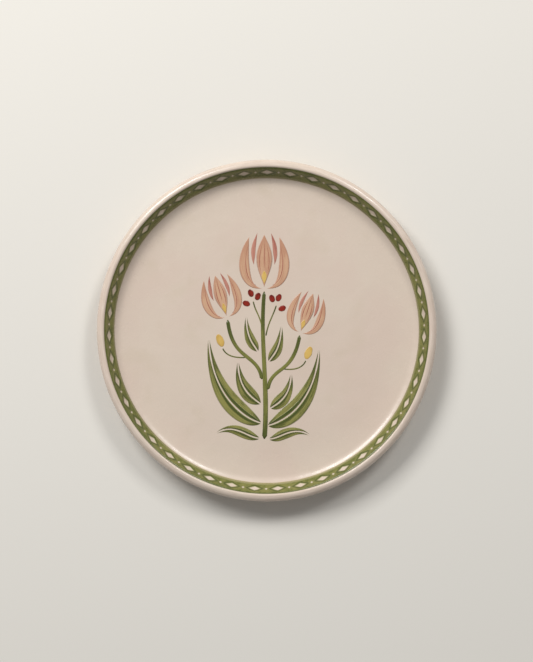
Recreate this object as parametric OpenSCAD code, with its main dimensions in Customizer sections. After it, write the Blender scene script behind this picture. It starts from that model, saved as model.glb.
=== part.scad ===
// A round glazed stoneware plate with a painted rim band and a flower spray in its well.
// Millimetres. Z is up, the foot ring stands on z = 0, and the plate's axis is the Z axis.
// From above, +Y points along the spray, from its root to its top flower.

/* [Plate] */
// Diameter over the lip
plate_d = 215; // [207:1:240]
// Height from the table to the top of the lip
plate_h = 19.5; // [17.5:0.5:24]
// Height of the well's floor above the table
floor_h = 7.2; // [6.4:0.1:8.4]
// Thickness of the wall where it turns up from the well
wall_t = 4.4; // [4:0.1:5]
// Slope of the wall that rises from the well to the lip, in degrees
wall_slope = 62; // [54:1:68]
// Slope of the wall's outside below the lip, in degrees
outer_slope = 45; // [40:1:52]
// Rounding of the lip's inner side
lip_in_r = 1.3; // [1:0.1:1.6]
// Rounding of the lip's outer side
lip_out_r = 3.8; // [3:0.1:4]
// Radius of the cove between the well and the wall
cove_r = 9; // [7:0.5:10]
// Radius of the slight dish at the edge of the well
dish_r = 122; // [80:1:140]
// Angle through which the slight dish turns, in degrees
dish_turn = 6.6; // [4:0.1:7.4]

/* [Foot ring] */
// Radius of the middle of the foot ring
foot_r = 63.5; // [50:0.5:76]
// Width of the foot ring where it stands
foot_w = 5; // [4:0.1:8]
// Height of the rim's underside above the table
under_h = 3; // [2.8:0.1:3.4]
// Height of the recess inside the foot ring
recess_h = 3.2; // [2.8:0.1:3.8]
// Rounding of the foot ring's standing edges
foot_round = 1.1; // [0.6:0.1:1.3]
// Fillet where the foot ring meets the underside
foot_fillet = 1.4; // [0.6:0.1:1.6]
// Draft of the foot ring's sides, in degrees
foot_draft = 10; // [4:1:20]

/* [Glaze and enamel] */
// Thickness of the glaze
glaze_t = 0.35; // [0.2:0.05:0.6]
// Thickness of one painted coat of enamel
paint_t = 0.15; // [0.1:0.01:0.25]

/* [Rim band] */
// Distance from the plate's edge in to the band, seen from above
band_inset = 5; // [4.9:0.1:5.8]
// Width of the band with its edge lines, seen from above
band_w = 6; // [5.2:0.1:6.4]
// Width of the fine dark line along each edge of the band
line_w = 0.45; // [0.3:0.05:0.6]
// Distance from one reserved lozenge to the next, round the band
lozenge_pitch = 14.54; // [12.5:0.02:20]
// Angle of the first lozenge round the rim, in degrees
lozenge_turn = 6.1; // [0:0.1:8.3]
// Length of a reserved lozenge, round the band
lozenge_l = 8; // [6:0.1:8.5]
// Height of a reserved lozenge, up the wall
lozenge_w = 4.6; // [3.6:0.1:5.4]
// Length of the small lozenge between two large ones
dot_l = 2.2; // [1.6:0.1:2.6]
// Height of the small lozenge, up the wall
dot_w = 2.4; // [1.6:0.1:3]

/* [Flower spray] */
// Height of the spray, from its root to its top flower
spray_h = 131; // [110:1:134]
// Width of the spray
spray_w = 75; // [66:1:84]
// Distance of the spray's root from the plate's middle
spray_root_y = 69; // [60:1:70]
// Distance of the spray's root to one side of the plate's middle
spray_root_x = 1.5; // [0:0.5:4]
// Width of the main stem at its root
stem_w = 3.4; // [2:0.1:3.6]
// Width of a berry stalk
stalk_w = 0.9; // [0.6:0.1:1.2]
// Width of the pale rib that splits a leaf
rib_w = 0.9; // [0.6:0.1:1.2]
// Widest half of the largest leaf
leaf_w = 5.8; // [3:0.1:6]
// Height of the middle flower
flower_h = 36; // [30:0.5:37]
// Half the width of the middle flower
flower_w = 14.5; // [12:0.5:15]
// Width of a fine vein on a petal
vein_w = 0.55; // [0.3:0.05:0.7]
// Length of a berry
berry_l = 5; // [3:0.1:5.4]
// Width of a berry
berry_w = 3.8; // [2:0.1:4.2]
// Length of a yellow bud
bud_l = 8.4; // [5:0.1:9]
// Width of a yellow bud
bud_w = 4.8; // [3:0.1:5.4]

/* [Hidden] */

// Colours, red, green and blue from 0 to 1
body_colour = [0.80, 0.74, 0.66];
glaze_colour = [0.87, 0.81, 0.74];
band_colour = [0.45, 0.45, 0.28];
line_colour = [0.29, 0.30, 0.15];
stem_colour = [0.38, 0.40, 0.18];
leaf_colour = [0.44, 0.45, 0.22];
shade_colour = [0.29, 0.32, 0.13];
petal_colour = [0.78, 0.60, 0.49];
back_colour = [0.68, 0.45, 0.38];
vein_colour = [0.60, 0.36, 0.31];
berry_colour = [0.50, 0.13, 0.07];
yellow_colour = [0.80, 0.66, 0.35];

// Fineness of a turned surface, of an arc in degrees a step, and of a painted stroke
$fn = 180;
arc_step = 7;
least_steps = 3;
// The first arcs of the plate's outline, which are the well's
well_arc_count = 2;
stroke_steps = 18;
oval_sides = 32;
// Points closer than this are one point
same_point = 0.001;
degrees_per_radian = 180/PI;

function ray(angle) = [cos(angle), sin(angle)];
function reversed(points) = [for (i = [len(points) - 1:-1:0]) points[i]];
function distinct(points) =
    [for (i = [0:len(points) - 1]) if (i == 0 || norm(points[i] - points[i - 1]) > same_point) points[i]];

// Centre, at height z, of an arc that shares with another arc the tangent line that faces angle
function centre_beside(angle, centre, radius, z, own_radius) =
    [(centre*ray(angle) + radius - own_radius - sin(angle)*z)/cos(angle), z];

// The plate's outline, from the middle of the well over the lip to the foot ring and in to the
// middle of the base. An arc is its centre, its radius, which is negative where the surface is
// hollow, and the directions that the surface faces at its start and at its end.
floor_face = 90;
dish_face = floor_face + dish_turn;
wall_face = floor_face + wall_slope;
outer_face = outer_slope - 90;
under_face = -90;
foot_out_face = -foot_draft;
foot_in_face = foot_draft - 180;

lip_in_c = [plate_d/2 - lip_out_r, plate_h - lip_in_r];
lip_out_c = [plate_d/2 - lip_out_r, plate_h - lip_out_r];
dish_end_z = floor_h + dish_r*(1 - cos(dish_turn));
cove_c = centre_beside(wall_face, lip_in_c, lip_in_r, dish_end_z + cove_r*cos(dish_turn), -cove_r);
dish_c = cove_c + (dish_r - cove_r)*ray(dish_face);
under_r = cove_r + wall_t;
under_c = centre_beside(outer_face, lip_out_c, lip_out_r, under_h + under_r, under_r);
heel_out_c = [foot_r + foot_w/2 - foot_round, foot_round];
heel_in_c = [foot_r - foot_w/2 + foot_round, foot_round];
fillet_out_c = centre_beside(foot_out_face, heel_out_c, foot_round, under_h - foot_fillet, -foot_fillet);
fillet_in_c = centre_beside(foot_in_face, heel_in_c, foot_round, recess_h - foot_fillet, -foot_fillet);

// Where the band lies on the cove and the wall, as distances up the surface from the cove's end
cove_end = cove_c - cove_r*ray(wall_face);
band_out_r = plate_d/2 - band_inset;
band_in_r = band_out_r - band_w;
band_top = (band_out_r - cove_end.x)/cos(wall_slope);
band_low_face = acos((cove_c.x - band_in_r)/cove_r);
line_turn = line_w/cove_r*degrees_per_radian;
band_low = -(wall_face - band_low_face)*cove_r/degrees_per_radian;
band_mid = (band_low + band_top)/2;
band_mid_face = min(wall_face, wall_face + band_mid/cove_r*degrees_per_radian);
band_mid_point = cove_c - cove_r*ray(band_mid_face) + max(band_mid, 0)*ray(wall_slope);
lozenge_count = round(2*PI*band_mid_point.x/lozenge_pitch);

low_line_arc = [cove_c, -cove_r, band_low_face, band_low_face + line_turn];
band_arc = [cove_c, -cove_r, band_low_face + line_turn, wall_face];
top_arcs = [
    [dish_c, -dish_r, floor_face, dish_face],
    [cove_c, -cove_r, dish_face, band_low_face],
    low_line_arc,
    band_arc,
    [lip_in_c, lip_in_r, wall_face, floor_face],
    [lip_out_c, lip_out_r, floor_face, outer_face],
    [under_c, under_r, outer_face, under_face],
    [fillet_out_c, -foot_fillet, under_face, foot_out_face]
];
foot_arcs = [
    [heel_out_c, foot_round, foot_out_face, under_face],
    [heel_in_c, foot_round, under_face, foot_in_face]
];
base_arc = [fillet_in_c, -foot_fillet, foot_in_face, under_face];

// Points of an arc, at a depth below the glazed surface
function arc_points(arc, depth) =
    let (turn = arc[3] - arc[2], steps = max(least_steps, ceil(abs(turn)/arc_step)))
    [for (i = [0:steps]) arc[0] + (arc[1] - depth)*ray(arc[2] + turn*i/steps)];
function run(arcs, depth) = distinct([for (arc = arcs) each arc_points(arc, depth)]);
function top_run(depth) = concat(
    [[0, floor_h - depth]], run(top_arcs, depth), [heel_out_c + (foot_round - depth)*ray(foot_out_face)]);
function base_run(depth) = concat(
    [heel_in_c + (foot_round - depth)*ray(foot_in_face)], arc_points(base_arc, depth),
    [[0, recess_h + depth]]);
// A point on the straight of the wall, a distance up from the cove's end
function wall_point(distance, depth) =
    cove_end + distance*ray(wall_slope) - depth*ray(wall_face);

// The well's surface from its middle to the band, for the painted coats that lie on it
function well_run(depth) =
    concat([[0, floor_h - depth]], run([for (i = [0:well_arc_count - 1]) top_arcs[i]], depth));

module turned(points) {
    rotate_extrude() polygon(points);
}

// The fired clay, with a bare ring to stand on
module biscuit_body() {
    color(body_colour)
    turned(concat(top_run(glaze_t), run(foot_arcs, 0), base_run(glaze_t)));
}

// The glaze from the well over the lip and down to the outside of the foot ring
module glaze_coat() {
    color(glaze_colour)
    turned(concat(top_run(0), reversed(top_run(glaze_t))));
}

// The glaze inside the foot ring
module base_glaze() {
    color(glaze_colour)
    turned(concat(base_run(0), reversed(base_run(glaze_t))));
}

// A lozenge that lies on the band, its length round the rim
module lozenge(height, length) {
    polygon([[height/2, 0], [0, length/2], [-height/2, 0], [0, -length/2]]);
}

// Cuts lozenges through the band, each square to the wall
module lozenge_cuts(height, length, half_steps) {
    for (i = [0:lozenge_count - 1])
        rotate([0, 0, lozenge_turn + (i + half_steps/2)*360/lozenge_count])
        translate([band_mid_point.x, 0, band_mid_point.y])
        rotate([0, floor_face - band_mid_face, 0])
        linear_extrude(wall_t, center = true)
        lozenge(height, length);
}

// The green enamel band, with its large and small lozenges left open to the glaze
module rim_band() {
    color(band_colour)
    difference() {
        turned(concat(
            arc_points(band_arc, -paint_t), [wall_point(band_top - line_w, -paint_t)],
            [wall_point(band_top - line_w, 0)], reversed(arc_points(band_arc, 0))));
        lozenge_cuts(lozenge_w, lozenge_l, 0);
        lozenge_cuts(dot_w, dot_l, 1);
    }
}

// The fine dark lines along both edges of the band
module band_edge_lines() {
    color(line_colour) {
        turned(concat(arc_points(low_line_arc, -paint_t), reversed(arc_points(low_line_arc, 0))));
        turned([
            wall_point(band_top - line_w, -paint_t), wall_point(band_top, -paint_t),
            wall_point(band_top, 0), wall_point(band_top - line_w, 0)]);
    }
}

// Tables of the spray. A place is a share of the spray's width from its root, and a share of its
// height. A path is the four control points of a curve, and a size is a share of the largest.
main_stem_share = [[0, 0], [0.04, 0.23], [-0.04, 0.47], [0, 0.716]];
side_stem_shares = [
    [[-0.020, 0.29], [-0.05, 0.42], [-0.27, 0.37], [-0.31, 0.578]],
    [[0.030, 0.24], [0.06, 0.36], [0.25, 0.31], [0.30, 0.503]]
];
side_stem_w_share = 0.72;
stalk_shares = [
    [[-0.016, 0.535], [-0.035, 0.60], [-0.07, 0.61], [-0.094, 0.668]],
    [[0.014, 0.50], [0.035, 0.57], [0.07, 0.59], [0.102, 0.648]],
    [[-0.165, 0.395], [-0.22, 0.395], [-0.32, 0.395], [-0.352, 0.440]],
    [[0.165, 0.340], [0.22, 0.335], [0.32, 0.335], [0.352, 0.380]]
];
// Each leaf is a path and a width
leaf_shares = [
    [[[-0.030, 0.078], [-0.17, 0.10], [-0.45, 0.21], [-0.47, 0.48]], 1],
    [[[0.034, 0.066], [0.17, 0.085], [0.43, 0.17], [0.465, 0.43]], 0.98],
    [[[-0.034, 0.172], [-0.10, 0.20], [-0.22, 0.24], [-0.222, 0.370]], 0.74],
    [[[0.054, 0.150], [0.11, 0.172], [0.222, 0.20], [0.228, 0.312]], 0.66],
    [[[-0.044, 0.004], [-0.15, 0.008], [-0.25, 0.080], [-0.40, 0.030]], 0.52],
    [[[0.046, 0.000], [0.14, 0.003], [0.24, 0.067], [0.38, 0.020]], 0.50],
    [[[-0.056, 0.426], [-0.09, 0.46], [-0.152, 0.49], [-0.152, 0.590]], 0.50],
    [[[0.040, 0.378], [0.08, 0.41], [0.14, 0.44], [0.145, 0.545]], 0.52]
];
// Each flower is a place, a lean in degrees and a size
flower_shares = [
    [[0, 0.725], 0, 1],
    [[-0.315, 0.588], 16, 0.80],
    [[0.305, 0.513], -18, 0.76]
];
// Petals on a flower of height one and half width one, as a path and a width
petal_shares = [
    [[[0, 0.05], [0, 0.35], [0, 0.65], [0, 0.97]], 0.36],
    [[[-0.12, 0.02], [-1.00, 0.05], [-1.02, 0.55], [-0.66, 0.93]], 0.24],
    [[[0.12, 0.02], [1.00, 0.05], [1.02, 0.55], [0.66, 0.93]], 0.24]
];
back_petal_shares = [
    [[[-0.45, 0.44], [-0.53, 0.60], [-0.48, 0.80], [-0.30, 1.00]], 0.10],
    [[[0.45, 0.44], [0.53, 0.60], [0.48, 0.80], [0.30, 1.00]], 0.10]
];
vein_shares = [
    [[0, 0.38], [0, 0.50], [0, 0.70], [0, 0.86]],
    [[-0.13, 0.30], [-0.24, 0.42], [-0.24, 0.62], [-0.10, 0.78]],
    [[0.13, 0.30], [0.24, 0.42], [0.24, 0.62], [0.10, 0.78]],
    [[-0.36, 0.08], [-0.86, 0.16], [-0.90, 0.52], [-0.70, 0.80]],
    [[0.36, 0.08], [0.86, 0.16], [0.90, 0.52], [0.70, 0.80]]
];
// Each berry is a place and a lean in degrees
berry_shares = [
    [[-0.114, 0.708], 24], [[-0.152, 0.658], 70], [[-0.055, 0.692], -20],
    [[0.122, 0.686], -24], [[0.152, 0.634], -70], [[0.066, 0.682], 20]
];
// Each yellow bud is a place and a lean in degrees
bud_shares = [
    [[-0.374, 0.478], 22], [[0.374, 0.418], -22]
];
// The yellow heart of a flower, as a path and a width
heart_share = [[[0, 0.10], [0, 0.18], [0, 0.26], [0, 0.34]], 0.12];
// A leaf is widest nearer its root, and a petal nearer its top
leaf_belly_share = 0.80;
petal_belly_share = 1.15;
shade_w_share = 0.42;
shade_end_share = 0.86;

function bezier(p, t) =
    pow(1 - t, 3)*p[0] + 3*pow(1 - t, 2)*t*p[1] + 3*(1 - t)*t*t*p[2] + pow(t, 3)*p[3];
function heading(p, t) = let (
    way = pow(1 - t, 2)*(p[1] - p[0]) + 2*(1 - t)*t*(p[2] - p[1]) + t*t*(p[3] - p[2])) way/norm(way);
function beside(p, t, distance) =
    let (way = heading(p, t)) bezier(p, t) + distance*[-way.y, way.x];
function belly(t, skew) = sin(180*pow(t, skew));

function spray_place(share) =
    [share.x*spray_w - spray_root_x, share.y*spray_h - spray_root_y];
function spray_path(shares) = [for (share = shares) spray_place(share)];
function flower_path(shares, size) = [for (share = shares) [share.x*flower_w, share.y*flower_h]*size];

// Lays a painted coat on the well, also where it starts to rise, over the coats below it
module coat(colour, coats_below) {
    color(colour)
    intersection() {
        linear_extrude(plate_h) children();
        turned(concat(
            well_run(-coats_below*paint_t), reversed(well_run(-(coats_below + 1)*paint_t))));
    }
}

// A stroke along a path that narrows from one end to the other
module tapered_stroke(path, start_w, end_w) {
    polygon(concat(
        [for (i = [0:stroke_steps]) let (t = i/stroke_steps)
            beside(path, t, (start_w*(1 - t) + end_w*t)/2)],
        [for (i = [stroke_steps:-1:0]) let (t = i/stroke_steps)
            beside(path, t, -(start_w*(1 - t) + end_w*t)/2)]));
}

// A stroke along a path that swells between two pointed ends
module bellied_stroke(path, half_w, skew) {
    polygon(concat(
        [for (i = [0:stroke_steps]) let (t = i/stroke_steps) beside(path, t, half_w*belly(t, skew))],
        [for (i = [stroke_steps - 1:-1:1]) let (t = i/stroke_steps)
            beside(path, t, -half_w*belly(t, skew))]));
}

// Half a leaf on one side of its rib, from its root up to a share of its length
module leaf_half(path, side, half_w, end_share) {
    polygon(concat(
        [for (i = [0:stroke_steps]) beside(path, end_share*i/stroke_steps, side*rib_w/2)],
        [for (i = [stroke_steps - 1:-1:1]) let (t = i/stroke_steps)
            beside(path, end_share*t, side*(rib_w/2 + half_w*belly(t, leaf_belly_share)))]));
}

// Places what follows at each flower, with the flower's size as $size
module at_flowers() {
    for (flower = flower_shares) {
        $size = flower[2];
        translate(spray_place(flower[0])) rotate(flower[1]) children();
    }
}

// An oval that leans over a place
module oval(place, lean, length, width) {
    translate(spray_place(place))
    rotate(lean)
    scale([width/length, 1])
    circle(d = length, $fn = oval_sides);
}

// The stems of the three flowers and of the berries
module stem_print() {
    coat(stem_colour, 0) {
        tapered_stroke(spray_path(main_stem_share), stem_w, stem_w*side_stem_w_share);
        for (stem = side_stem_shares)
            tapered_stroke(spray_path(stem), stem_w*side_stem_w_share, stem_w*side_stem_w_share);
        for (stalk = stalk_shares)
            tapered_stroke(spray_path(stalk), stalk_w, stalk_w);
    }
}

// The leaves, each in two halves beside a pale rib
module leaf_print() {
    coat(leaf_colour, 0)
    for (leaf = leaf_shares, side = [-1, 1])
        leaf_half(spray_path(leaf[0]), side, leaf_w*leaf[1], 1);
}

// The darker strokes on the leaves
module leaf_shading() {
    coat(shade_colour, 1)
    for (leaf = leaf_shares, side = [-1, 1])
        leaf_half(spray_path(leaf[0]), side, leaf_w*leaf[1]*shade_w_share, shade_end_share);
}

// The front petals of the three flowers
module petal_print() {
    coat(petal_colour, 0)
    at_flowers()
    for (petal = petal_shares)
        bellied_stroke(flower_path(petal[0], $size), petal[1]*flower_w*$size, petal_belly_share);
}

// The tips of the back petals, seen between the front ones
module back_petal_print() {
    coat(back_colour, 0)
    at_flowers()
    for (petal = back_petal_shares)
        bellied_stroke(flower_path(petal[0], $size), petal[1]*flower_w*$size, 1);
}

// The fine veins on the front petals
module petal_veins() {
    coat(vein_colour, 1)
    at_flowers()
    for (vein = vein_shares)
        bellied_stroke(flower_path(vein, $size), vein_w/2, 1);
}

// The red berries
module berry_print() {
    coat(berry_colour, 0)
    for (berry = berry_shares)
        oval(berry[0], berry[1], berry_l, berry_w);
}

// The yellow buds on their stalks, and the yellow hearts laid over the middle petals
module yellow_print() {
    coat(yellow_colour, 0)
    for (bud = bud_shares)
        oval(bud[0], bud[1], bud_l, bud_w);
    coat(yellow_colour, 1)
    at_flowers()
    bellied_stroke(flower_path(heart_share[0], $size), heart_share[1]*flower_w*$size, petal_belly_share);
}

biscuit_body();
glaze_coat();
base_glaze();
rim_band();
band_edge_lines();
stem_print();
leaf_print();
leaf_shading();
petal_print();
back_petal_print();
petal_veins();
berry_print();
yellow_print();
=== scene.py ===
"""A round glazed stoneware plate with a painted lozenge band and a flower spray in its well."""
import math
import random

import bpy
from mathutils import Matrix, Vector


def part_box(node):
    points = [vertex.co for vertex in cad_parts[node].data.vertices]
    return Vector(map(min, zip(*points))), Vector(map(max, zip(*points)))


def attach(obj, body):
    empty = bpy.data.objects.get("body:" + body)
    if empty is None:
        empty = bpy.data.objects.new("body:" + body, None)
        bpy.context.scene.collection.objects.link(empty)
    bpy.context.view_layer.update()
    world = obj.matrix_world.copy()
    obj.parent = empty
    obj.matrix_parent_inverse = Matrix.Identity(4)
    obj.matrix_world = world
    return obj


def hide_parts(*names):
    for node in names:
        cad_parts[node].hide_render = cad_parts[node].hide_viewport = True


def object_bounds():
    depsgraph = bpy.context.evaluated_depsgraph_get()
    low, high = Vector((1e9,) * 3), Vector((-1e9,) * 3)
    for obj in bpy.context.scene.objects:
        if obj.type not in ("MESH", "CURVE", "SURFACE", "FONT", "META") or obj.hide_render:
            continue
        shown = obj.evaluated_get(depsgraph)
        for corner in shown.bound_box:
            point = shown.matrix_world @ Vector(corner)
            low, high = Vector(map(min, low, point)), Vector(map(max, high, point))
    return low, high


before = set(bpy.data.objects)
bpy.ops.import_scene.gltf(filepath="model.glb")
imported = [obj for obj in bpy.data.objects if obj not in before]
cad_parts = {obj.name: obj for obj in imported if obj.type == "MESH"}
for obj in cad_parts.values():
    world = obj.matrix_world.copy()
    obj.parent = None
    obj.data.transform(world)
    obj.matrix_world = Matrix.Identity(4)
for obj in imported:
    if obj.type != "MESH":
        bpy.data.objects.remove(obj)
cad_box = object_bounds()

MM = 0.001
BODY = "root"

# The plate, in millimetres, as the solids have it
PLATE_R = cad_box[1][0] / MM
PLATE_H = cad_box[1][2] / MM
FLOOR_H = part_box("stem_print")[0][2] / MM
WALL_T = 4.4
WALL_SLOPE = 62
OUTER_SLOPE = 45
LIP_IN_R = 1.3
LIP_OUT_R = 3.8
COVE_R = 9
DISH_R = 122
DISH_TURN = 6.6
FOOT_R = 63.5
FOOT_W = 5
UNDER_H = 3
RECESS_H = 3.2
FOOT_ROUND = 1.1
FOOT_FILLET = 1.4
FOOT_DRAFT = 10
GLAZE_T = 0.35
PAINT_T = 0.15
# The unevenness at the lip: waves of its radius and of its height, each with its size, its count
# round the plate and its start, and how low the lip lies as a whole
GROW_WAVES = ((0.35, 2, -math.pi / 2), (0.10, 3, 0.7))
LIFT_WAVES = ((0.16, 2, 0.9), (0.07, 5, 2.1))
LIP_SAG = 0.12

# The rim band
BAND_INSET = 5
BAND_W = 6
LINE_W = 0.45
# Where on a half wave the dome of a line starts, as a share
LINE_EDGE = 0.12
LOZENGES = 43
LOZENGE_TURN = 6.1
# The bare middle of a lozenge and of a small dot. Thin enamel round it fades to the full green.
LOZENGE_L = 5.6
LOZENGE_W = 3.4
DOT_L = 1.5
DOT_W = 1.7
# How rounded a lozenge's sides are: 1 is straight, and 2 would be an oval
LOZENGE_ROUND = 1.15
# Where a lozenge's cell of the band ends, as a share of the pitch
CELL_SHARE = 0.335
# Depth of the band's own underside below the glaze's surface
BAND_BED = 0.12
# The band's section from a lozenge out to its cell's border: shares of the way, and heights over
# the glaze
CELL_PROFILE = (
    (0, -BAND_BED), (0, 0.02), (0.10, PAINT_T * 0.7), (0.26, PAINT_T), (0.6, PAINT_T),
    (1, PAINT_T), (1, -BAND_BED))

# The flower spray
SPRAY_H = 131
SPRAY_W = 75
SPRAY_ROOT = (-1.5, -69)
STEM_W = 3.4
SIDE_STEM_SHARE = 0.72
STALK_W = 0.9
RIB_W = 0.9
LEAF_W = 5.8
FLOWER_H = 36
FLOWER_W = 14.5
VEIN_W = 0.55
BERRY_L, BERRY_W = 5, 3.8
BUD_L, BUD_W = 8.4, 4.8

# Fineness: the degrees of a step along an arc and the fewest steps of one, the steps along the
# straight parts of the outline, round the plate, across an edge line, along each side of a cell's
# border, along and across a stroke, and along a path that is measured
ARC_STEP = 3
ARC_LEAST = 3
FLOOR_STEPS = 14
WALL_STEPS = 4
UNDER_STEPS = 6
RECESS_STEPS = 10
ROUND_STEPS = 288
LINE_ROWS = 6
CELL_STEPS = 8
STROKE_STEPS = 44
STROKE_ROWS = 8
LENGTH_STEPS = 8
# Within these distances, in millimetres, a point is on the plate's axis, and two points are one
ON_AXIS = 1e-6
ONE_SPOT = 1e-5
# How finely points of the band are told apart: in parts of a turn and in parts of a millimetre
TURN_GRAIN = 1000000
MM_GRAIN = 10000

# Colours as they look in daylight, in red, green and blue from 0 to 255
IVORY = (214, 198, 182)
IVORY_ROSE = (213, 194, 179)
IVORY_WARM = (206, 190, 170)
LIP_GREY = (190, 172, 154)
LIP_PALE = (226, 212, 198)
CLAY = (193, 170, 142)
CLAY_DARK = (160, 132, 102)
BAND_GREEN = (102, 106, 50)
BAND_DARK = (70, 80, 32)
BAND_OLIVE = (130, 128, 70)
BAND_PALE = (188, 178, 138)
LINE_OCHRE = (172, 158, 110)
LINE_GREEN = (92, 98, 44)
STEM_DARK = (70, 78, 30)
STEM_LIGHT = (124, 124, 60)
LEAF_DARK = (76, 84, 34)
LEAF_LIGHT = (142, 138, 76)
SHADE_DARK = (56, 68, 24)
PETAL_LIGHT = (204, 164, 132)
PETAL_DARK = (188, 140, 112)
PETAL_EDGE = (174, 116, 94)
BACK_LIGHT = (190, 132, 114)
BACK_DARK = (164, 98, 84)
VEIN = (158, 86, 72)
BERRY_LIGHT = (142, 34, 16)
BERRY_DARK = (102, 20, 8)
YELLOW_LIGHT = (214, 178, 98)
YELLOW_DARK = (198, 160, 82)


def linear(colour):
    """A colour from 0 to 255 as linear red, green, blue and alpha."""
    shares = [c / 255 for c in colour]
    return tuple(s / 12.92 if s <= 0.04045 else ((s + 0.055) / 1.055) ** 2.4 for s in shares) + (1,)


# Outlines of turned surfaces. A point is a radius, a height and the direction that it faces.

def ray(angle):
    """A step of length 1 in a direction given in degrees."""
    return Vector((math.cos(math.radians(angle)), math.sin(math.radians(angle))))


def centre_beside(angle, centre, radius, z, own_radius):
    """Centre, at height z, of an arc that shares with another the tangent line that faces angle."""
    way = ray(angle)
    return Vector(((centre.dot(way) + radius - own_radius - way.y * z) / way.x, z))


def arc(centre, radius, start, end):
    """Points of an arc between two directions, hollow where the radius is negative."""
    steps = max(ARC_LEAST, math.ceil(abs(end - start) / ARC_STEP))
    angles = [start + (end - start) * i / steps for i in range(steps + 1)]
    return [(centre + radius * ray(angle), angle) for angle in angles]


def line(start, end, steps):
    """Points between two outline points that face one way, without the first and the last."""
    return [(start[0].lerp(end[0], i / steps), start[1]) for i in range(1, steps)]


def at_depth(outline, depth):
    """The places at a depth below an outline."""
    return [point - depth * ray(angle) for point, angle in outline]


floor_face = 90
dish_face = floor_face + DISH_TURN
wall_face = floor_face + WALL_SLOPE
outer_face = OUTER_SLOPE - 90
lip_in_c = Vector((PLATE_R - LIP_OUT_R, PLATE_H - LIP_IN_R))
lip_out_c = Vector((PLATE_R - LIP_OUT_R, PLATE_H - LIP_OUT_R))
dish_end_z = FLOOR_H + DISH_R * (1 - math.cos(math.radians(DISH_TURN)))
cove_z = dish_end_z + COVE_R * math.cos(math.radians(DISH_TURN))
cove_c = centre_beside(wall_face, lip_in_c, LIP_IN_R, cove_z, -COVE_R)
dish_c = cove_c + (DISH_R - COVE_R) * ray(dish_face)
under_r = COVE_R + WALL_T
under_c = centre_beside(outer_face, lip_out_c, LIP_OUT_R, UNDER_H + under_r, under_r)
heel_out = Vector((FOOT_R + FOOT_W / 2 - FOOT_ROUND, FOOT_ROUND))
heel_in = Vector((FOOT_R - FOOT_W / 2 + FOOT_ROUND, FOOT_ROUND))
fillet_out = centre_beside(-FOOT_DRAFT, heel_out, FOOT_ROUND, UNDER_H - FOOT_FILLET, -FOOT_FILLET)
fillet_in = centre_beside(
    FOOT_DRAFT - 180, heel_in, FOOT_ROUND, RECESS_H - FOOT_FILLET, -FOOT_FILLET)
cove_end = cove_c - COVE_R * ray(wall_face)

dish_arc = arc(dish_c, -DISH_R, floor_face, dish_face)
cove_arc = arc(cove_c, -COVE_R, dish_face, wall_face)
lip_arc = arc(lip_in_c, LIP_IN_R, wall_face, floor_face) + arc(
    lip_out_c, LIP_OUT_R, floor_face, outer_face)[1:]
under_arc = arc(under_c, under_r, outer_face, -90)
fillet_out_arc = arc(fillet_out, -FOOT_FILLET, -90, -FOOT_DRAFT)
heel_out_arc = arc(heel_out, FOOT_ROUND, -FOOT_DRAFT, -90)
heel_in_arc = arc(heel_in, FOOT_ROUND, -90, FOOT_DRAFT - 180)
fillet_in_arc = arc(fillet_in, -FOOT_FILLET, FOOT_DRAFT - 180, -90)
well_middle = (Vector((0, FLOOR_H)), floor_face)
base_middle = (Vector((0, RECESS_H)), -90)

top_outline = [
    well_middle, *line(well_middle, dish_arc[0], FLOOR_STEPS), *dish_arc, *cove_arc[1:],
    *line(cove_arc[-1], lip_arc[0], WALL_STEPS), *lip_arc,
    *line(lip_arc[-1], under_arc[0], WALL_STEPS), *under_arc,
    *line(under_arc[-1], fillet_out_arc[0], UNDER_STEPS), *fillet_out_arc, heel_out_arc[0]]
foot_outline = [*heel_out_arc, *heel_in_arc]
base_outline = [
    heel_in_arc[-1], *fillet_in_arc, *line(fillet_in_arc[-1], base_middle, RECESS_STEPS),
    base_middle]


def band_point(distance):
    """A point of the wall, a distance up its surface from the cove's end."""
    if distance < 0:
        angle = wall_face + math.degrees(distance / COVE_R)
        return cove_c - COVE_R * ray(angle), angle
    return cove_end + distance * ray(WALL_SLOPE), wall_face


band_out_r = PLATE_R - BAND_INSET
band_in_r = band_out_r - BAND_W
band_top = (band_out_r - cove_end.x) / math.cos(math.radians(WALL_SLOPE))
band_low_turn = wall_face - math.degrees(math.acos((cove_c.x - band_in_r) / COVE_R))
band_low = -math.radians(band_low_turn) * COVE_R
band_mid = (band_low + band_top) / 2
band_mid_r = band_point(band_mid)[0].x
band_pitch = 2 * math.pi * band_mid_r / LOZENGES


def wave_sum(waves, angle):
    return sum(size * math.sin(count * angle + start) for size, count, start in waves)


def sway(x, y, z):
    """A point with the unevenness of a hand-thrown plate: most at the lip, and none at the foot."""
    radius = math.hypot(x, y)
    angle = math.atan2(y, x)
    out = min(max((radius - FOOT_R) / (PLATE_R - FOOT_R), 0), 1) ** 2
    grow = out * wave_sum(GROW_WAVES, angle)
    lift = out * (wave_sum(LIFT_WAVES, angle) - LIP_SAG)
    share = 1 + grow / PLATE_R
    return x * share, y * share, z + lift * min(z / FLOOR_H, 1)


def new_piece(name, points, faces, maps, finish):
    """A mesh of points in millimetres, with named maps of a pair of numbers for each point."""
    mesh = bpy.data.meshes.new(name)
    mesh.from_pydata([tuple(c * MM for c in sway(*p)) for p in points], [], faces)
    for map_name, pairs in maps.items():
        layer = mesh.uv_layers.new(name=map_name)
        for loop in mesh.loops:
            layer.data[loop.index].uv = pairs[loop.vertex_index]
    mesh.shade_smooth()
    mesh.materials.append(finish)
    piece = bpy.data.objects.new(name, mesh)
    bpy.context.collection.objects.link(piece)
    return piece


def stand_in_for(piece, node):
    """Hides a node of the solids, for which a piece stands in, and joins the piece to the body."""
    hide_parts(node)
    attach(piece, BODY)


# Turned pieces

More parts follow.
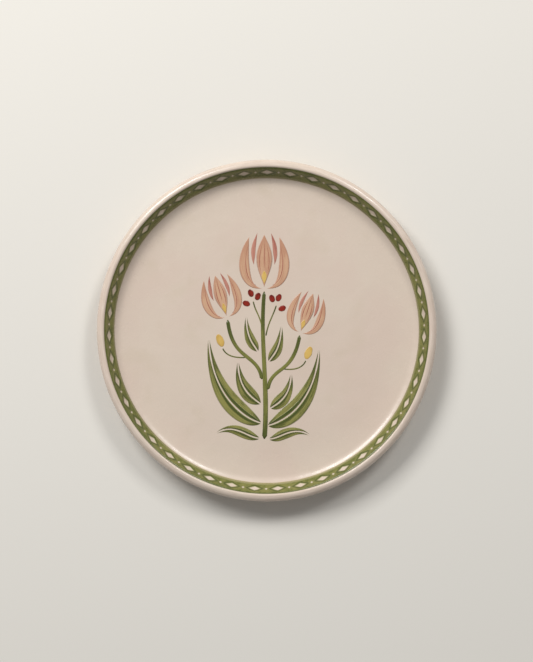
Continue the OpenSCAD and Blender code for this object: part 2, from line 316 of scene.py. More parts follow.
def turned(loop):
    """Points and faces of a closed outline turned about the plate's axis."""
    points = []
    rings = []
    for radius, height in loop:
        if radius < ON_AXIS:
            rings.append([len(points)] * ROUND_STEPS)
            points.append((0, 0, height))
            continue
        rings.append(range(len(points), len(points) + ROUND_STEPS))
        for i in range(ROUND_STEPS):
            angle = 2 * math.pi * i / ROUND_STEPS
            points.append((radius * math.cos(angle), radius * math.sin(angle), height))
    faces = []
    for row, ring in enumerate(rings):
        following = rings[(row + 1) % len(rings)]
        for i in range(ROUND_STEPS):
            j = (i + 1) % ROUND_STEPS
            corners = [ring[i], ring[j], following[j], following[i]]
            corners = [c for k, c in enumerate(corners) if c != corners[k - 1]]
            if len(corners) > 2:
                faces.append(corners)
    return points, faces


def flat_map(points):
    """Each point's place seen from above, in shares of the plate's radius."""
    return [(p[0] / PLATE_R, p[1] / PLATE_R) for p in points]


def distinct(points):
    """A closed outline without the points that repeat the one before."""
    return [p for k, p in enumerate(points) if (p - points[k - 1]).length > ONE_SPOT]


def turned_piece(name, loop, finish, node):
    points, faces = turned(distinct(loop))
    piece = new_piece(name, points, faces, {"flat": flat_map(points)}, finish)
    stand_in_for(piece, node)


def make_clay(finish):
    loop = at_depth(top_outline, GLAZE_T) + at_depth(foot_outline, 0)
    loop += at_depth(base_outline, GLAZE_T)
    turned_piece("fired_clay", loop, finish, "biscuit_body")


def make_glaze(finish):
    loop = at_depth(top_outline, 0) + at_depth(top_outline, GLAZE_T)[::-1]
    turned_piece("well_and_rim_glaze", loop, finish, "glaze_coat")


def make_base_glaze(finish):
    loop = at_depth(base_outline, 0) + at_depth(base_outline, GLAZE_T)[::-1]
    turned_piece("foot_recess_glaze", loop, finish, "base_glaze")


def make_edge_lines(finish):
    """The two fine lines, softly domed, along the edges of the band."""
    shares = [i / LINE_ROWS for i in range(LINE_ROWS + 1)]
    domes = [math.sin(math.pi * (LINE_EDGE + (1 - 2 * LINE_EDGE) * share)) for share in shares]
    points = []
    faces = []
    for low in (band_low, band_top - LINE_W):
        crown = [band_point(low + LINE_W * share) for share in shares]
        loop = [at_depth([point], -PAINT_T * dome)[0] for point, dome in zip(crown, domes)]
        loop += at_depth([crown[-1], crown[0]], BAND_BED)
        ring_points, ring_faces = turned(loop)
        faces += [[c + len(points) for c in face] for face in ring_faces]
        points += ring_points
    piece = new_piece("band_edge_line_pair", points, faces, {"flat": flat_map(points)}, finish)
    stand_in_for(piece, "band_edge_lines")


class Cells:
    """The band's mesh: a cell round each lozenge and each dot, with that outline cut out of it."""

    def __init__(self):
        self.points = []
        self.faces = []
        self.pairs = []
        self.known = {}

    def point(self, share, up, height):
        """A point so many pitches from the first lozenge, up the wall and over the glaze."""
        turns = share / LOZENGES % 1
        key = (round(turns * TURN_GRAIN) % TURN_GRAIN,
               round(up * MM_GRAIN), round(height * MM_GRAIN))
        if key not in self.known:
            place, face = band_point(up)
            place = place + height * ray(face)
            angle = math.radians(LOZENGE_TURN) + 2 * math.pi * turns
            self.known[key] = len(self.points)
            self.points.append((place.x * math.cos(angle), place.x * math.sin(angle), place.y))
            nearest = abs(share - round(share))
            self.pairs.append((nearest, (up - band_low) / (band_top - band_low)))
        return self.known[key]

    def add(self, middle, half_share, low, high, length, width):
        """A cell from the outline of its lozenge out to its straight borders."""
        ticks = [2 * i / CELL_STEPS - 1 for i in range(CELL_STEPS)]
        border = [(t, -1) for t in ticks] + [(1, t) for t in ticks]
        border += [(-t, 1) for t in ticks] + [(-1, -t) for t in ticks]
        half_up = (high - low) / 2

        def outline(x, y):
            size = (abs(x) ** LOZENGE_ROUND + abs(y) ** LOZENGE_ROUND) ** (1 / LOZENGE_ROUND)
            return x / size * length / 2 / band_pitch, y / size * width / 2

        rings = []
        for share, height in CELL_PROFILE:
            ring = []
            for x, y in border:
                inner_x, inner_y = outline(x, y)
                along = inner_x + (x * half_share - inner_x) * share
                up = inner_y + (y * half_up - inner_y) * share
                ring.append(self.point(middle + along, (low + high) / 2 + up, height))
            rings.append(ring)
        rings.append(rings[0])
        count = len(border)
        for ring, following in zip(rings, rings[1:]):
            for k in range(count):
                j = (k + 1) % count
                # Neighbouring cells meet at their side borders, so no wall stands there
                side_wall = ring is rings[-3] and abs(border[k][0]) == 1 == abs(border[j][0])
                if not side_wall:
                    self.faces.append([ring[k], ring[j], following[j], following[k]])


def make_band(finish):
    """The green band, left open to the glaze in each lozenge and dot."""
    cells = Cells()
    low, high = band_low + LINE_W, band_top - LINE_W
    for i in range(LOZENGES):
        cells.add(i, CELL_SHARE, low, high, LOZENGE_L, LOZENGE_W)
        cells.add(i + 0.5, 0.5 - CELL_SHARE, low, high, DOT_L, DOT_W)
    maps = {"band": cells.pairs, "flat": flat_map(cells.points)}
    piece = new_piece("green_lozenge_band", cells.points, cells.faces, maps, finish)
    stand_in_for(piece, "rim_band")


# Tables of the spray. A place is a share of the spray's width from its root, and a share of its
# height. A path is the four control points of a curve, a size is a share of the largest, and a lean
# is in degrees. Petals have their half width as a share of a flower's width.
MAIN_STEM = [(0, 0), (0.04, 0.23), (-0.04, 0.47), (0, 0.716)]
SIDE_STEMS = [
    [(-0.020, 0.29), (-0.05, 0.42), (-0.27, 0.37), (-0.31, 0.578)],
    [(0.030, 0.24), (0.06, 0.36), (0.25, 0.31), (0.30, 0.503)]]
STALKS = [
    [(-0.016, 0.535), (-0.035, 0.60), (-0.07, 0.61), (-0.094, 0.668)],
    [(0.014, 0.50), (0.035, 0.57), (0.07, 0.59), (0.102, 0.648)],
    [(-0.165, 0.395), (-0.22, 0.395), (-0.32, 0.395), (-0.352, 0.440)],
    [(0.165, 0.340), (0.22, 0.335), (0.32, 0.335), (0.352, 0.380)]]
LEAVES = [
    ([(-0.030, 0.078), (-0.17, 0.10), (-0.45, 0.21), (-0.47, 0.48)], 1),
    ([(0.034, 0.066), (0.17, 0.085), (0.43, 0.17), (0.465, 0.43)], 0.98),
    ([(-0.034, 0.172), (-0.10, 0.20), (-0.22, 0.24), (-0.222, 0.370)], 0.74),
    ([(0.054, 0.150), (0.11, 0.172), (0.222, 0.20), (0.228, 0.312)], 0.66),
    ([(-0.044, 0.004), (-0.15, 0.008), (-0.25, 0.080), (-0.40, 0.030)], 0.52),
    ([(0.046, 0.000), (0.14, 0.003), (0.24, 0.067), (0.38, 0.020)], 0.50),
    ([(-0.056, 0.426), (-0.09, 0.46), (-0.152, 0.49), (-0.152, 0.590)], 0.50),
    ([(0.040, 0.378), (0.08, 0.41), (0.14, 0.44), (0.145, 0.545)], 0.52)]
FLOWERS = [((0, 0.725), 0, 1), ((-0.315, 0.588), 16, 0.80), ((0.305, 0.513), -18, 0.76)]
PETALS = [
    ([(0, 0.05), (0, 0.35), (0, 0.65), (0, 0.97)], 0.36),
    ([(-0.12, 0.02), (-1.00, 0.05), (-1.02, 0.55), (-0.66, 0.93)], 0.24),
    ([(0.12, 0.02), (1.00, 0.05), (1.02, 0.55), (0.66, 0.93)], 0.24)]
BACK_PETALS = [
    ([(-0.45, 0.44), (-0.53, 0.60), (-0.48, 0.80), (-0.30, 1.00)], 0.10),
    ([(0.45, 0.44), (0.53, 0.60), (0.48, 0.80), (0.30, 1.00)], 0.10)]
VEINS = [
    [(0, 0.38), (0, 0.50), (0, 0.70), (0, 0.86)],
    [(-0.13, 0.30), (-0.24, 0.42), (-0.24, 0.62), (-0.10, 0.78)],
    [(0.13, 0.30), (0.24, 0.42), (0.24, 0.62), (0.10, 0.78)],
    [(-0.36, 0.08), (-0.86, 0.16), (-0.90, 0.52), (-0.70, 0.80)],
    [(0.36, 0.08), (0.86, 0.16), (0.90, 0.52), (0.70, 0.80)]]
BERRIES = [
    ((-0.114, 0.708), 24), ((-0.152, 0.658), 70), ((-0.055, 0.692), -20),
    ((0.122, 0.686), -24), ((0.152, 0.634), -70), ((0.066, 0.682), 20)]
BUDS = [((-0.374, 0.478), 22), ((0.374, 0.418), -22)]
HEART = ([(0, 0.10), (0, 0.18), (0, 0.26), (0, 0.34)], 0.12)
LEAF_BELLY = 0.80
PETAL_BELLY = 1.15
# The shading's width as a share of its leaf's, and the share of its length that it covers
SHADE_SHARE = 0.42
SHADE_END = 0.86
# The least width of a stroke's point
POINT_W = 0.05
# The share of a stem's length over which its end narrows, and how blunt the end stays
TIP_SHARE = 0.02
TIP_BLUNT = 0.05
# How an edge strays: its waves, and the bounds of their pace, start and size in millimetres
STRAY_WAVES = 3
STRAY_BOUNDS = ((2, 6), (0, 6.3), (0.02, 0.06))
# Strokes narrower than these widths stray less, and rise less
CALM_W = 3
DOME_W = 1.2
# A stroke's dome: how square it is, its height at the edge as a share, and how deep its bed lies
DOME_POWER = 3
EDGE_SHARE = 0.15
STROKE_BED = 0.05
# The length of a stroke, in millimetres, along which its map runs from 0 to 1
MAP_L = 40


def bezier(path, t):
    """The place on a curve at t, which goes from 0 to 1 along it."""
    weights = ((1 - t) ** 3, 3 * (1 - t) ** 2 * t, 3 * (1 - t) * t * t, t ** 3)
    return sum((w * p for w, p in zip(weights, path)), Vector((0, 0)))


def heading(path, t):
    """The direction of a curve at t."""
    weights = ((1 - t) ** 2, 2 * (1 - t) * t, t * t)
    legs = [path[i + 1] - path[i] for i in range(3)]
    return sum((w * leg for w, leg in zip(weights, legs)), Vector((0, 0))).normalized()


def belly(t, skew):
    """The width of a leaf or petal at t, as a share of the most. Skew moves its widest place."""
    return math.sin(math.pi * t ** skew)


def spray_place(share):
    return Vector((share[0] * SPRAY_W + SPRAY_ROOT[0], share[1] * SPRAY_H + SPRAY_ROOT[1]))


def spray_path(shares):
    return [spray_place(share) for share in shares]


def flower_path(shares, flower):
    """A path of a flower's own shares, turned and placed in the spray."""
    place, lean, size = flower
    cos, sin = math.cos(math.radians(lean)), math.sin(math.radians(lean))
    spots = [Vector((x * FLOWER_W, y * FLOWER_H)) * size for x, y in shares]
    return [
        spray_place(place) + Vector((p.x * cos - p.y * sin, p.x * sin + p.y * cos)) for p in spots]


def oval_path(place, lean, length):
    """The long axis of an oval, as a straight path."""
    turn = math.radians(lean)
    way = Vector((-math.sin(turn), math.cos(turn)))
    return [spray_place(place) + way * length * (share - 0.5) for share in (0, 1 / 3, 2 / 3, 1)]


class Strokes:
    """Painted strokes of one colour: each is a low dome of enamel along a path."""

    def __init__(self, seed):
        self.points = []
        self.faces = []
        self.along = []
        self.run = []
        self.dice = random.Random(seed)

    def unsteady(self):
        """A function of t: how far a hand-drawn edge strays there, in millimetres."""
        waves = [[self.dice.uniform(*bounds) for bounds in STRAY_BOUNDS]
                 for _ in range(STRAY_WAVES)]
        return lambda t: sum(
            size * math.sin(math.pi * pace * t + start) for pace, start, size in waves)

    def add(self, path, left, right, coats=0, end=1):
        """A stroke between two sides, each a function of t that gives its offset from the path."""
        first = len(self.points)
        width = STROKE_ROWS + 1
        tone = self.dice.random()
        left_stray, right_stray = self.unsteady(), self.unsteady()
        spots = [bezier(path, i / LENGTH_STEPS) for i in range(LENGTH_STEPS + 1)]
        length = sum((after - before).length for before, after in zip(spots, spots[1:]))
        for layer in ("crown", "bed"):
            for i in range(STROKE_STEPS + 1):
                share = i / STROKE_STEPS
                way = heading(path, share * end)
                side = Vector((-way.y, way.x))
                middle = bezier(path, share * end)
                a, b = left(share), right(share)
                if a - b < POINT_W:
                    a, b = (a + b + POINT_W) / 2, (a + b - POINT_W) / 2
                calm = min(1, (a - b) / CALM_W)
                a += left_stray(share) * calm
                b += right_stray(share) * calm
                for k in range(width):
                    across = k / STROKE_ROWS
                    spot = middle + side * (a + (b - a) * across)
                    dome = (1 - abs(2 * across - 1) ** DOME_POWER) * min(1, (a - b) / DOME_W)
                    crown = FLOOR_H + PAINT_T * (coats + EDGE_SHARE + (1 - EDGE_SHARE) * dome)
                    height = crown if layer == "crown" else FLOOR_H - STROKE_BED
                    self.points.append((spot.x, spot.y, height))
                    self.along.append((across, share * length / MAP_L))
                    self.run.append((share, tone))
        bed = first + (STROKE_STEPS + 1) * width
        for i in range(STROKE_STEPS):
            for k in range(STROKE_ROWS):
                corner = i * width + k
                quad = [corner, corner + width, corner + width + 1, corner + 1]
                self.faces.append([first + c for c in quad])
                self.faces.append([bed + c for c in reversed(quad)])
        last = STROKE_STEPS * width
        border = [(k + 1, k) for k in range(STROKE_ROWS)]
        border += [(last + k, last + k + 1) for k in range(STROKE_ROWS)]
        border += [(c, c + width) for c in range(0, last, width)]
        border += [(c + width + STROKE_ROWS, c + STROKE_ROWS) for c in range(0, last, width)]
        self.faces += [[first + p, bed + p, bed + q, first + q] for p, q in border]

    def tapered(self, path, start_w, end_w):
        def half(t):
            narrowed = min(1, math.sqrt(min(t, 1 - t) / TIP_SHARE + TIP_BLUNT))
            return (start_w * (1 - t) + end_w * t) / 2 * narrowed
        self.add(path, half, lambda t: -half(t))

    def bellied(self, path, half_w, skew, coats=0):
        self.add(path, lambda t: half_w * belly(t, skew), lambda t: -half_w * belly(t, skew), coats)

    def oval(self, path, half_w):
        def half(t):
            return half_w * math.sqrt(max(0, 1 - (2 * t - 1) ** 2))
        self.add(path, half, lambda t: -half(t))

    def leaf_half(self, path, side, half_w, coats=0, end=1):
        def near(t):
            return RIB_W / 2

        def far(t):
            return RIB_W / 2 + half_w * belly(t, LEAF_BELLY)
        if side > 0:
            self.add(path, far, near, coats, end)
        else:
            self.add(path, lambda t: -near(t), lambda t: -far(t), coats, end)

    def piece(self, name, node, slot, finish):
        maps = {"stroke": self.along, "run": self.run, "flat": flat_map(self.points)}
        made = new_piece(name, self.points, self.faces, maps, finish)
        stand_in_for(made, node)


def make_stems(finish):
    strokes = Strokes(11)
    strokes.tapered(spray_path(MAIN_STEM), STEM_W, STEM_W * SIDE_STEM_SHARE)
    for stem in SIDE_STEMS:
        strokes.tapered(spray_path(stem), STEM_W * SIDE_STEM_SHARE, STEM_W * SIDE_STEM_SHARE)
    for stalk in STALKS:
        strokes.tapered(spray_path(stalk), STALK_W, STALK_W)
    strokes.piece("painted_stems", "stem_print", "stem_enamel", finish)


def make_leaves(finish, shade_finish):
    leaves = Strokes(12)
    shades = Strokes(13)
    for shares, size in LEAVES:
        for side in (-1, 1):
            leaves.leaf_half(spray_path(shares), side, LEAF_W * size)
            shades.leaf_half(spray_path(shares), side, LEAF_W * size * SHADE_SHARE, 1, SHADE_END)
    leaves.piece("painted_leaves", "leaf_print", "leaf_enamel", finish)
    shades.piece("leaf_shading_strokes", "leaf_shading", "shade_enamel", shade_finish)


def make_flowers(petal_finish, back_finish, vein_finish):
    petals = Strokes(14)
    backs = Strokes(15)
    veins = Strokes(16)
    for flower in FLOWERS:
        size = flower[2]
        for shares, width in PETALS:
            petals.bellied(flower_path(shares, flower), width * FLOWER_W * size, PETAL_BELLY)
        for shares, width in BACK_PETALS:
            backs.bellied(flower_path(shares, flower), width * FLOWER_W * size, 1)
        for shares in VEINS:
            veins.bellied(flower_path(shares, flower), VEIN_W / 2, 1, 1)
    petals.piece("front_petals", "petal_print", "petal_enamel", petal_finish)
    backs.piece("back_petals", "back_petal_print", "back_petal_enamel", back_finish)
    veins.piece("petal_vein_strokes", "petal_veins", "vein_enamel", vein_finish)


def make_berries_and_buds(berry_finish, yellow_finish):
    berries = Strokes(17)
    yellows = Strokes(18)
    for place, lean in BERRIES:
        berries.oval(oval_path(place, lean, BERRY_L), BERRY_W / 2)
    for place, lean in BUDS:
        yellows.oval(oval_path(place, lean, BUD_L), BUD_W / 2)
    for flower in FLOWERS:
        shares, width = HEART
        yellows.bellied(flower_path(shares, flower), width * FLOWER_W * flower[2], PETAL_BELLY, 1)
    berries.piece("red_berries", "berry_print", "berry_enamel", berry_finish)
    yellows.piece("yellow_buds_and_hearts", "yellow_print", "yellow_enamel", yellow_finish)


# Finishes

# Keeps the distance from the axis above 0, so that it can divide
NEAR_NOUGHT = 1e-9


class Value:
    """A number that varies over a surface; sums on it add Math nodes."""

    def __init__(self, finish, socket):
        self.finish = finish
        self.socket = socket

    def math(self, operation, *others):
        sockets = [getattr(o, "socket", o) for o in (self, *others)]
        links = dict(enumerate(sockets))
        node = self.finish.node("ShaderNodeMath", {"operation": operation}, links)
        return Value(self.finish, node.outputs[0])

    def flipped(self, operation, other):
        sockets = {0: other, 1: self.socket}
        node = self.finish.node("ShaderNodeMath", {"operation": operation}, sockets)
        return Value(self.finish, node.outputs[0])

    def __add__(self, other):
        return self.math("ADD", other)

    def __radd__(self, other):
        return self.math("ADD", other)

    def __sub__(self, other):
        return self.math("SUBTRACT", other)

    def __rsub__(self, other):
        return self.flipped("SUBTRACT", other)

    def __mul__(self, other):
        return self.math("MULTIPLY", other)

    def __rmul__(self, other):
        return self.math("MULTIPLY", other)

    def __truediv__(self, other):
        return self.math("DIVIDE", other)

    def __pow__(self, other):
        return self.math("POWER", other)

    def __abs__(self):
        return self.math("ABSOLUTE")

    def most(self, other):
        return self.math("MAXIMUM", other)

    def least(self, other):
        return self.math("MINIMUM", other)

    def ramp(self, low, high, to_low=0, to_high=1):
        """A smooth rise from to_low at low to to_high at high."""
        links = {"Value": self.socket, "From Min": low, "From Max": high, "To Min": to_low,
                 "To Max": to_high}
        node = self.finish.node("ShaderNodeMapRange", {"interpolation_type": "SMOOTHSTEP"}, links)
        return Value(self.finish, node.outputs[0])


class Finish:
    """A material's node tree round one Principled shader."""

    def __init__(self, name, roughness, gloss=0.5):
        self.material = bpy.data.materials.new(name)
        self.material.use_nodes = True
        self.tree = self.material.node_tree
        self.tree.nodes.clear()
        self.shader = self.node("ShaderNodeBsdfPrincipled", {}, {
            "Roughness": roughness, "Specular IOR Level": gloss})
        self.node("ShaderNodeOutputMaterial", {}, {"Surface": self.shader.outputs[0]})

    def node(self, kind, settings, links):
        """A node of a kind, with its settings and then the values or links of its sockets."""
        made = self.tree.nodes.new(kind)
        for key, value in settings.items():
            setattr(made, key, value)
        for key, value in links.items():
            if isinstance(value, Value):
                value = value.socket
            if isinstance(value, bpy.types.NodeSocket):
                self.tree.links.new(value, made.inputs[key])
            else:
                made.inputs[key].default_value = value
        return made

    def feed(self, name, value):
        self.tree.links.new(getattr(value, "socket", value), self.shader.inputs[name])

    def place(self):
        """The place on the object, in metres."""
        return self.node("ShaderNodeTexCoord", {}, {}).outputs["Object"]

    def polar(self):
        """The distance from the plate's axis in metres, and the two parts of the way out."""
        parts = self.node("ShaderNodeSeparateXYZ", {}, {0: self.place()})
        x, y = Value(self, parts.outputs[0]), Value(self, parts.outputs[1])
        radius = (x * x + y * y + NEAR_NOUGHT) ** 0.5
        return radius, (x / radius, y / radius)

    def pair(self, map_name):
        """The two numbers of a map."""
        source = self.node("ShaderNodeUVMap", {"uv_map": map_name}, {})
        parts = self.node("ShaderNodeSeparateXYZ", {}, {0: source.outputs[0]})
        return Value(self, parts.outputs[0]), Value(self, parts.outputs[1])

    def vector(self, x, y, z):
        return self.node("ShaderNodeCombineXYZ", {}, {0: x, 1: y, 2: z}).outputs[0]

    def noise(self, vector, scale, detail=2, roughness=0.5):
        links = {"Vector": vector, "Scale": scale, "Detail": detail, "Roughness": roughness}
        return Value(self, self.node("ShaderNodeTexNoise", {}, links).outputs[0])

    def blend(self, factor, first, second):
        """A colour that goes from the first to the second as the factor goes from 0 to 1."""
        links = {0: factor, 6: linear(first) if isinstance(first, tuple) else first,
                 7: linear(second) if isinstance(second, tuple) else second}
        return self.node("ShaderNodeMix", {"data_type": "RGBA"}, links).outputs[2]

    def relief(self, height, strength, distance):
        links = {"Strength": strength, "Distance": distance, "Height": height}
        bump = self.node("ShaderNodeBump", {}, links)
        self.feed("Normal", bump.outputs[0])


def ivory_glaze():
    """Ivory gloss glaze: softly mottled, faintly speckled, and wiped lengthwise along the lip."""
    finish = Finish("ivory_gloss_glaze", 0.24)
    place = finish.place()
    radius, way = finish.polar()
    clouds = finish.noise(place, 22, 3, 0.55)
    blush = finish.noise(place, 55, 2)
    colour = finish.blend(clouds.ramp(0.35, 0.70), IVORY, IVORY_ROSE)
    colour = finish.blend(blush.ramp(0.50, 0.85, 0, 0.55), colour, IVORY_WARM)
    on_lip = radius.ramp(band_out_r * MM, (band_out_r + 1.2) * MM)
    wipe = finish.noise(finish.vector(way[0] * 9, way[1] * 9, radius * 1300), 1, 3, 0.6)
    colour = finish.blend(wipe.ramp(0.50, 0.74) * on_lip * 0.55, colour, LIP_GREY)
    colour = finish.blend(wipe.ramp(0.30, 0.50, 1, 0) * on_lip * 0.60, colour, LIP_PALE)
    grain = finish.noise(place, 900, 2)
    colour = finish.blend(grain.ramp(0.64, 0.80, 0, 0.14), colour, CLAY)
    finish.feed("Base Color", colour)
    finish.feed("Roughness", finish.noise(place, 130, 2).ramp(0.3, 0.7, 0.20, 0.30))
    ripple = finish.noise(place, 60, 2) + finish.noise(place, 340, 2) * 0.16 + wipe * on_lip * 0.2
    finish.relief(ripple, 0.35, 0.0006)
    return finish.material


def bare_clay():
    """Bare fired clay: sandy and matt, with darker grains."""
    finish = Finish("bare_fired_clay", 0.85, 0.3)
    place = finish.place()
    sand = finish.noise(place, 1400, 3, 0.7)
    patches = finish.noise(place, 40, 3)
    colour = finish.blend(patches.ramp(0.35, 0.7), CLAY, IVORY_WARM)
    finish.feed("Base Color", finish.blend(sand.ramp(0.55, 0.75), colour, CLAY_DARK))
    finish.feed("Roughness", sand.ramp(0.2, 0.8, 0.75, 0.95))
    finish.relief(sand, 0.5, 0.0003)
    return finish.material


def band_enamel():
    """Green band enamel: brushed, pale round each lozenge, with darker strokes that cross."""
    finish = Finish("green_band_enamel", 0.3)
    along, up = finish.pair("band")
    place = finish.place()
    half_up = abs(up - (band_mid - band_low) / (band_top - band_low)) * (band_top - band_low)
    along_mm = along * band_pitch

    def reach(distance, length, width):
        """How many times its bare outline's size a place lies from the middle of a lozenge."""
        a = (distance / (length / 2)) ** LOZENGE_ROUND
        b = (half_up / (width / 2)) ** LOZENGE_ROUND
        return (a + b) ** (1 / LOZENGE_ROUND)

    brush = finish.noise(place, 260, 3, 0.6)
    drift = finish.noise(place, 36, 2)
    stray = (brush - 0.5) * 0.5
    large = reach(along_mm, LOZENGE_L, LOZENGE_W) + stray * 0.5
    small = reach(band_pitch / 2 - along_mm, DOT_L, DOT_W) + stray
    colour = finish.blend((brush * 0.6 + drift * 0.4).ramp(0.36, 0.64), BAND_GREEN, BAND_OLIVE)
    cross = large.ramp(1.20, 1.75).least(large.ramp(1.75, 2.4, 1, 0)).least(small.ramp(1.4, 2.4))
    colour = finish.blend(cross * 0.85, colour, BAND_DARK)
    outer = up.ramp(0.80, 0.97)
    colour = finish.blend(outer * 0.45, colour, BAND_DARK)
    inner = (up + stray * 0.1).ramp(0.02, 0.20, 1, 0)
    colour = finish.blend(inner * 0.80, colour, BAND_PALE)
    fade = large.ramp(1.0, 1.62, 1, 0).most(small.ramp(1.0, 2.0, 1, 0) * 0.7)
    colour = finish.blend(fade * 0.80, colour, BAND_PALE)
    colour = finish.blend(large.ramp(1.0, 1.25, 1, 0) * 0.7, colour, IVORY)
    finish.feed("Base Color", colour)
    finish.feed("Roughness", brush.ramp(0.3, 0.7, 0.24, 0.36))
    finish.relief(brush, 0.3, 0.0003)
    return finish.material


def line_enamel():
    """Line enamel: a dark green line at the band's top, and a pale olive one at its foot."""
    finish = Finish("olive_line_enamel", 0.3)
    place = finish.place()
    radius = finish.polar()[0]
    wear = finish.noise(place, 180, 3, 0.6)
    colour = finish.blend(radius.ramp(band_in_r * MM, (band_in_r + 0.3) * MM), IVORY, LINE_OCHRE)
    colour = finish.blend(wear.ramp(0.45, 0.75) * 0.5, colour, IVORY_WARM)
    high = radius.ramp((band_in_r + 1) * MM, (band_in_r + 2) * MM)
    finish.feed("Base Color", finish.blend(high, colour, LINE_GREEN))
    finish.feed("Roughness", wear.ramp(0.3, 0.7, 0.24, 0.36))
    finish.relief(wear, 0.3, 0.0003)
    return finish.material


def stroke_enamel(name, dark, light, rim, rim_strength=0.6, streaks=26, under=IVORY, soft=0.2):
    """Brushed enamel: streaks along the stroke, a tone of its own, and soft thin edges."""
    finish = Finish(name, 0.3)
    across, along = finish.pair("stroke")
    run, tone = finish.pair("run")
    place = finish.place()
    edge = abs(across - 0.5) * 2
    hair = finish.noise(finish.vector(across * streaks, along * 2.2, tone * 9), 1, 3, 0.65)
    pool = finish.noise(finish.vector(across * 2, along * 4, tone * 7), 1.3, 2)
    grain = finish.noise(place, 700, 2)
    ends = (abs(run - 0.45) * 2).ramp(0.3, 1)
    mixed = hair * 0.62 + pool * 0.30 + grain * 0.08 + (tone - 0.5) * 0.10 - (ends - 0.4) * 0.16
    colour = finish.blend(mixed.ramp(0.38, 0.60), dark, light)
    colour = finish.blend(edge.ramp(0.55, 0.95) * rim_strength, colour, rim)
    thin = (edge + (grain - 0.5) * 0.10).ramp(1 - soft, 1.04, 0, 0.85)
    colour = finish.blend(thin, colour, under)
    finish.feed("Base Color", colour)
    finish.feed("Roughness", hair.ramp(0.3, 0.7, 0.24, 0.38))
    finish.relief(hair * 0.7 + grain * 0.3, 0.35, 0.0002)
    return finish.material


def make_plate():
    glaze = ivory_glaze()
    make_clay(bare_clay())
    make_glaze(glaze)
    make_base_glaze(glaze)
    make_band(band_enamel())
    make_edge_lines(line_enamel())


def make_spray():
    make_stems(stroke_enamel("green_stem_enamel", STEM_DARK, STEM_LIGHT, STEM_DARK, 0.5))
    make_leaves(
        stroke_enamel("green_leaf_enamel", LEAF_DARK, LEAF_LIGHT, LEAF_DARK, 0.35),
        stroke_enamel("dark_leaf_enamel", SHADE_DARK, LEAF_DARK, LEAF_LIGHT, 0.7,
                      under=LEAF_LIGHT, soft=0.5))
    make_flowers(
        stroke_enamel("blush_petal_enamel", PETAL_DARK, PETAL_LIGHT, PETAL_EDGE, 0.65, 18),
        stroke_enamel("rose_petal_enamel", BACK_DARK, BACK_LIGHT, PETAL_EDGE, 0.4, 14),
        stroke_enamel("dark_rose_vein_enamel", VEIN, BACK_DARK, PETAL_EDGE, 0.5, 6,
                      under=PETAL_DARK, soft=0.6))
    make_berries_and_buds(
        stroke_enamel("deep_red_enamel", BERRY_DARK, BERRY_LIGHT, BERRY_DARK, 0.5, 8),
        stroke_enamel("ochre_yellow_enamel", YELLOW_DARK, YELLOW_LIGHT, YELLOW_DARK, 0.3, 8))


# The studio. The view: the photo's size, the plate's middle and its radius there, in pixels, and
# the camera's lens and picture height, in millimetres
PHOTO_W, PHOTO_H = 533, 662
PLATE_X, PLATE_Y = 266.6, 330.45
PLATE_EDGE_PX = 170.4
LENS = 85
FILM_H = 36
# The studio floor's colour, half its side in metres, and its height in millimetres, which is just
# below the foot, so that the two faces don't flicker
STUDIO_COLOUR = (226, 222, 214)
STUDIO_HALF = 3
STUDIO_Z = -0.04
# The brightness of the backdrop as it is seen, and of the even light
BACKDROP = 0.86
EVEN_LIGHT = 0.28
# Each lamp's name, its direction and height in degrees, its distance, width and height in metres,
# and its level
LAMPS = [
    ("upper_left_soft_box", 127, 44, 1.8, 0.80, 0.58, 0.54),
    ("upper_right_soft_box", 58, 46, 1.9, 0.46, 0.46, 0.23)]


def make_camera():
    """A camera straight above the plate, with the plate as far across the view as in the photo."""
    mm_per_px = PLATE_R / PLATE_EDGE_PX
    height = LENS / FILM_H * PHOTO_H * mm_per_px + PLATE_H - LIP_OUT_R
    data = bpy.data.cameras.new("overhead_camera")
    data.lens = LENS
    data.sensor_fit = "VERTICAL"
    data.sensor_height = FILM_H
    camera = bpy.data.objects.new("overhead_camera", data)
    aside = (PHOTO_W / 2 - PLATE_X) * mm_per_px
    below = (PLATE_Y - PHOTO_H / 2) * mm_per_px
    camera.location = (aside * MM, below * MM, height * MM)
    bpy.context.collection.objects.link(camera)
    bpy.context.scene.camera = camera


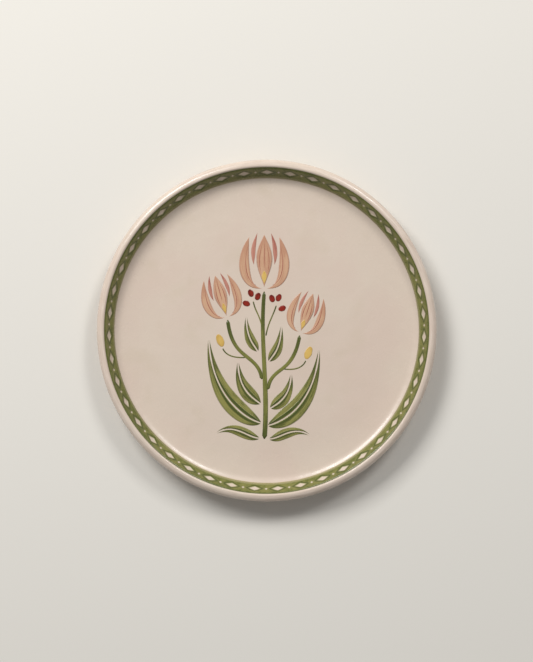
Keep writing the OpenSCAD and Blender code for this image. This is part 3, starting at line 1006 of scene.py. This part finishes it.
def make_lamp(name, azimuth, elevation, distance, width, height, level):
    """A soft box that lights the floor to a share of a plain level."""
    data = bpy.data.lights.new(name, "AREA")
    data.shape = "RECTANGLE"
    data.size = width
    data.size_y = height
    slant = math.sin(math.radians(elevation))
    data.energy = level * math.pi ** 2 * distance ** 2 / slant
    lamp = bpy.data.objects.new(name, data)
    flat = math.cos(math.radians(elevation))
    turn = math.radians(azimuth)
    way = Vector((flat * math.cos(turn), flat * math.sin(turn), slant))
    lamp.location = way * distance
    lamp.rotation_euler = way.to_track_quat("Z", "Y").to_euler()
    bpy.context.collection.objects.link(lamp)


def make_floor():
    """A plain pale floor."""
    mesh = bpy.data.meshes.new("pale_floor")
    half = STUDIO_HALF
    corners = [(-half, -half), (half, -half), (half, half), (-half, half)]
    mesh.from_pydata([(x, y, STUDIO_Z * MM) for x, y in corners], [], [[0, 1, 2, 3]])
    finish = Finish("pale_floor_paint", 0.8, 0.2)
    finish.shader.inputs["Base Color"].default_value = linear(STUDIO_COLOUR)
    mesh.materials.append(finish.material)
    floor = bpy.data.objects.new("pale_floor", mesh)
    bpy.context.collection.objects.link(floor)


def make_world():
    """Even light from all round, with a pale backdrop behind it."""
    world = bpy.data.worlds.new("pale_studio")
    world.use_nodes = True
    tree = world.node_tree
    tree.nodes.clear()
    path = tree.nodes.new("ShaderNodeLightPath")
    seen = tree.nodes.new("ShaderNodeMath")
    seen.operation = "MAXIMUM"
    tree.links.new(path.outputs["Is Camera Ray"], seen.inputs[0])
    tree.links.new(path.outputs["Is Transmission Ray"], seen.inputs[1])
    strength = tree.nodes.new("ShaderNodeMapRange")
    strength.inputs["To Min"].default_value = EVEN_LIGHT
    strength.inputs["To Max"].default_value = 1
    tree.links.new(seen.outputs[0], strength.inputs["Value"])
    back = tree.nodes.new("ShaderNodeBackground")
    back.inputs["Color"].default_value = (BACKDROP, BACKDROP, BACKDROP, 1)
    tree.links.new(strength.outputs[0], back.inputs["Strength"])
    out = tree.nodes.new("ShaderNodeOutputWorld")
    tree.links.new(back.outputs[0], out.inputs["Surface"])
    bpy.context.scene.world = world


make_camera()
make_plate()
make_spray()
make_floor()
make_world()
for lamp in LAMPS:
    make_lamp(*lamp)
bpy.context.scene.view_settings.view_transform = "Standard"
